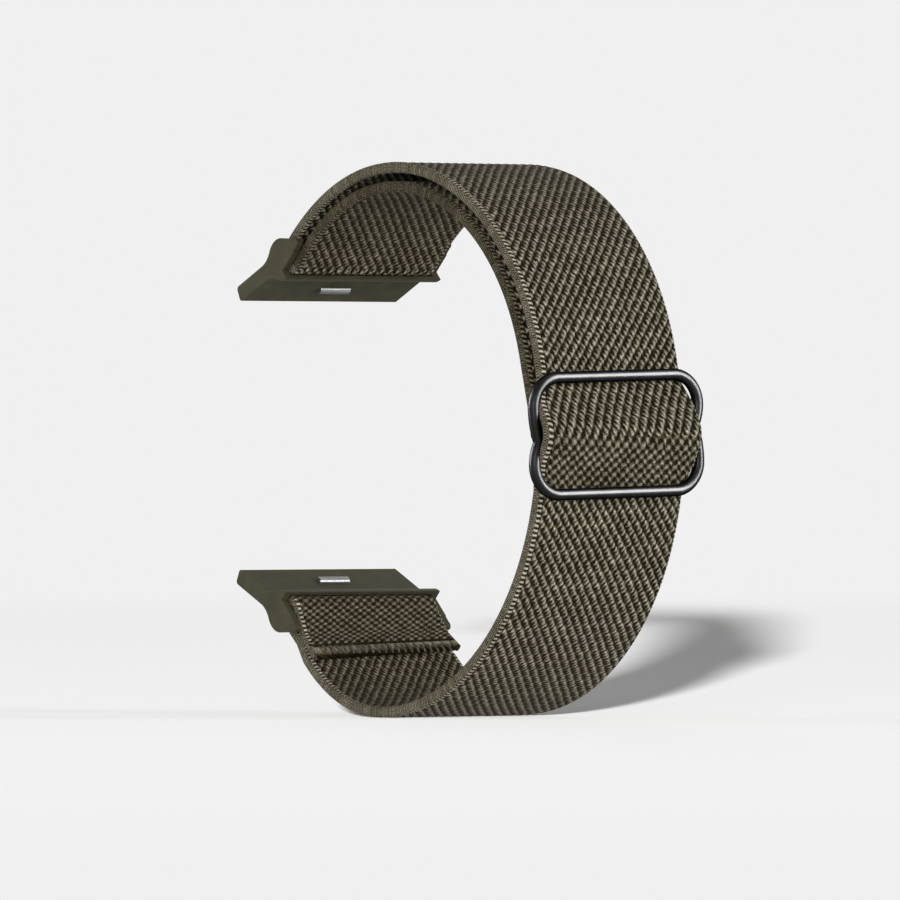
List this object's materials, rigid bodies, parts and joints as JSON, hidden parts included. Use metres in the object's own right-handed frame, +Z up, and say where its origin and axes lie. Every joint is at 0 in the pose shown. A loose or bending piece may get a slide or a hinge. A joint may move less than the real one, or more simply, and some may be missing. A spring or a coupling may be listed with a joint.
{
  "type": "stretch watch band",
  "caption": "Elastic woven watch band with a two-window wire slider, a doubled upper half and two sprung lugs that slide into a watch case.",
  "frame": {"origin": "under the middle of the standing loop, on the surface it stands on, midway across its width", "axes": "+Z up, +X towards the slider, so the lugs and the gap for the watch case are at -X; Y runs across the band"},
  "size_m": [0.0738, 0.029, 0.0758],
  "materials": {
    "webbing": "woven matte",
    "thread": "matte",
    "dark_metal": "polished dark plating",
    "olive_metal": "matte paint",
    "steel": "satin"
  },
  "bodies": {
    "strap": {"strap_outer_front": "webbing", "strap_inner_front": "webbing", "strap_lower_front": "webbing"},
    "slider": {"slider_frame": "dark_metal", "slider_middle_bar": "dark_metal", "strap_weave": "webbing", "strap_sewn_eye": "webbing", "eye_stitching": "thread"},
    "upper_end": {"strap_outer_top": "webbing", "strap_inner_top": "webbing", "strap_upper_turn": "webbing"},
    "lower_end": {"strap_lower_back": "webbing", "strap_lower_turn": "webbing", "strap_flap": "webbing", "flap_stitching": "thread"},
    "upper_lug": {"upper_lug": "olive_metal", "upper_bar_tube": "steel", "upper_bar_spring": "steel", "upper_catch_spring": "steel", "upper_catch_cover": "olive_metal"},
    "upper_catch": {"upper_catch": "steel"},
    "upper_tip_near": {"upper_bar_tip_near": "steel"},
    "upper_tip_far": {"upper_bar_tip_far": "steel"},
    "lower_lug": {"lower_lug": "olive_metal", "lower_bar_tube": "steel", "lower_bar_spring": "steel", "lower_catch_spring": "steel", "lower_catch_cover": "olive_metal"},
    "lower_catch": {"lower_catch": "steel"},
    "lower_tip_near": {"lower_bar_tip_near": "steel"},
    "lower_tip_far": {"lower_bar_tip_far": "steel"}
  },
  "joints": [
    {"name": "slider_shift", "type": "hinge", "parent": "strap", "child": "slider", "pos_m": [-0.0017, 0, 0.04055], "axis": [0, -1, 0], "range_deg": [-8, 20], "deforming": ["strap_outer_front", "strap_inner_front", "strap_lower_front"]},
    {"name": "upper_stretch", "type": "slide", "parent": "strap", "child": "upper_end", "axis": [-1, 0, 0], "range_m": [0, 0.015], "stiffness_N_per_m": 60},
    {"name": "lower_stretch", "type": "slide", "parent": "strap", "child": "lower_end", "axis": [-1, 0, 0], "range_m": [0, 0.015]},
    {"name": "upper_lug_swing", "type": "hinge", "parent": "upper_end", "child": "upper_lug", "pos_m": [-0.02577, 0, 0.063], "axis": [0, 1, 0], "range_deg": [-20, 20]},
    {"name": "upper_catch_press", "type": "slide", "parent": "upper_lug", "child": "upper_catch", "axis": [-0.4226, 0, 0.9063], "range_m": [0, 0.0006], "stiffness_N_per_m": 1500, "springref_m": -0.0003, "deforming": ["upper_catch_spring"]},
    {"name": "upper_tip_near_press", "type": "slide", "parent": "upper_lug", "child": "upper_tip_near", "axis": [0, 1, 0], "range_m": [0, 0.00075], "stiffness_N_per_m": 800, "springref_m": -0.001, "deforming": ["upper_bar_spring"]},
    {"name": "upper_tip_far_press", "type": "slide", "parent": "upper_lug", "child": "upper_tip_far", "axis": [0, -1, 0], "range_m": [0, 0.00075], "stiffness_N_per_m": 800, "springref_m": -0.001, "deforming": ["upper_bar_spring"]},
    {"name": "lower_lug_swing", "type": "hinge", "parent": "lower_end", "child": "lower_lug", "pos_m": [-0.02594, 0, 0.01406], "axis": [0, -1, 0], "range_deg": [-20, 20]},
    {"name": "lower_catch_press", "type": "slide", "parent": "lower_lug", "child": "lower_catch", "axis": [-0.4226, 0, -0.9063], "range_m": [0, 0.0006], "stiffness_N_per_m": 1500, "springref_m": -0.0003, "deforming": ["lower_catch_spring"]},
    {"name": "lower_tip_near_press", "type": "slide", "parent": "lower_lug", "child": "lower_tip_near", "axis": [0, 1, 0], "range_m": [0, 0.00075], "stiffness_N_per_m": 800, "springref_m": -0.001, "deforming": ["lower_bar_spring"]},
    {"name": "lower_tip_far_press", "type": "slide", "parent": "lower_lug", "child": "lower_tip_far", "axis": [0, -1, 0], "range_m": [0, 0.00075], "stiffness_N_per_m": 800, "springref_m": -0.001, "deforming": ["lower_bar_spring"]}
  ],
  "couplings": [
    {"joint": "lower_stretch", "follows": "upper_stretch", "ratio": 1}
  ]
}
